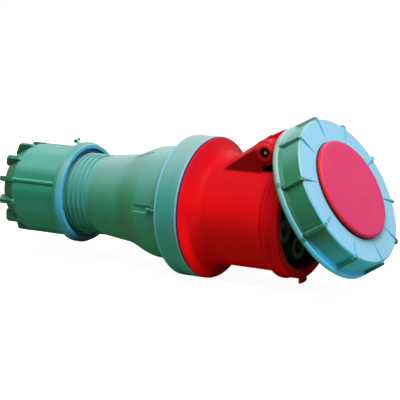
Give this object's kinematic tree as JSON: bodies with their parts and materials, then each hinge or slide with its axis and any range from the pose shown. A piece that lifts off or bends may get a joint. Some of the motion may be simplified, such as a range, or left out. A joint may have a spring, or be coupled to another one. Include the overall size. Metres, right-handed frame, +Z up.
{
  "type": "pin and sleeve connector",
  "caption": "Large pin and sleeve cord connector: green handle with a finned gland nut, red socket housing, hinged lid with a bayonet locking ring standing part open.",
  "frame": {"origin": "centre of the mouth's front edge, on the connector's main axis", "axes": "+X along the main axis out of the mouth, +Z up towards the lid's hinge, the key slot at -Z"},
  "size_m": [0.4233, 0.1532, 0.1657],
  "materials": {
    "green_plastic": "moulded polyamide with a fine satin surface, green with a blue tinge",
    "red_plastic": "moulded polyamide, satin, signal red",
    "disc_plastic": "moulded polyamide, satin, pinkish red as the light shows it",
    "carrier_plastic": "moulded polyamide, matt, very dark green",
    "grey_plastic": "moulded polyamide, matt grey",
    "black_rubber": "moulded rubber, matt",
    "contact_brass": "turned brass",
    "steel": "bright zinc-plated steel"
  },
  "bodies": {
    "housing": {"handle_shell": "green_plastic", "gland_seal": "black_rubber", "housing_gasket": "black_rubber", "housing_screws": "steel", "front_body": "red_plastic", "carrier_plate": "carrier_plastic", "line_sleeves": "carrier_plastic", "neutral_sleeve": "carrier_plastic", "earth_sleeve": "carrier_plastic", "pilot_sleeve": "carrier_plastic", "insert_rear": "carrier_plastic", "phase_contacts": "contact_brass", "earth_contact": "contact_brass", "pilot_contact": "contact_brass", "contact_springs": "steel", "terminal_screws": "steel", "insert_screws": "steel", "carrier_screws": "steel", "hinge_pin": "steel"},
    "gland": {"thrust_ring": "grey_plastic"},
    "nut": {"gland_nut": "green_plastic", "gland_lock_screw": "steel"},
    "lid": {"lid_cap": "red_plastic", "lid_gasket": "black_rubber", "lid_disc": "disc_plastic"},
    "ring": {"lock_ring": "green_plastic"}
  },
  "joints": [
    {"name": "lid_hinge", "type": "hinge", "parent": "housing", "child": "lid", "pos_m": [-0.0273, 0, 0.0634], "axis": [0, -1, 0], "range_deg": [-29, 91]},
    {"name": "ring_turn", "type": "hinge", "parent": "lid", "child": "ring", "pos_m": [0.02731, 0, 0.02118], "axis": [0.8746, 0, 0.4848], "range_deg": [-26, 0]},
    {"name": "gland_slide", "type": "slide", "parent": "housing", "child": "gland", "axis": [1, 0, 0], "range_m": [-0.012, 0]},
    {"name": "nut_turn", "type": "hinge", "parent": "gland", "child": "nut", "pos_m": [-0.3, 0, 0], "axis": [1, 0, 0], "range_deg": [-720, 0]}
  ],
  "couplings": [
    {"joint": "gland_slide", "follows": "nut_turn", "m_per_rad": 0.000954}
  ]
}
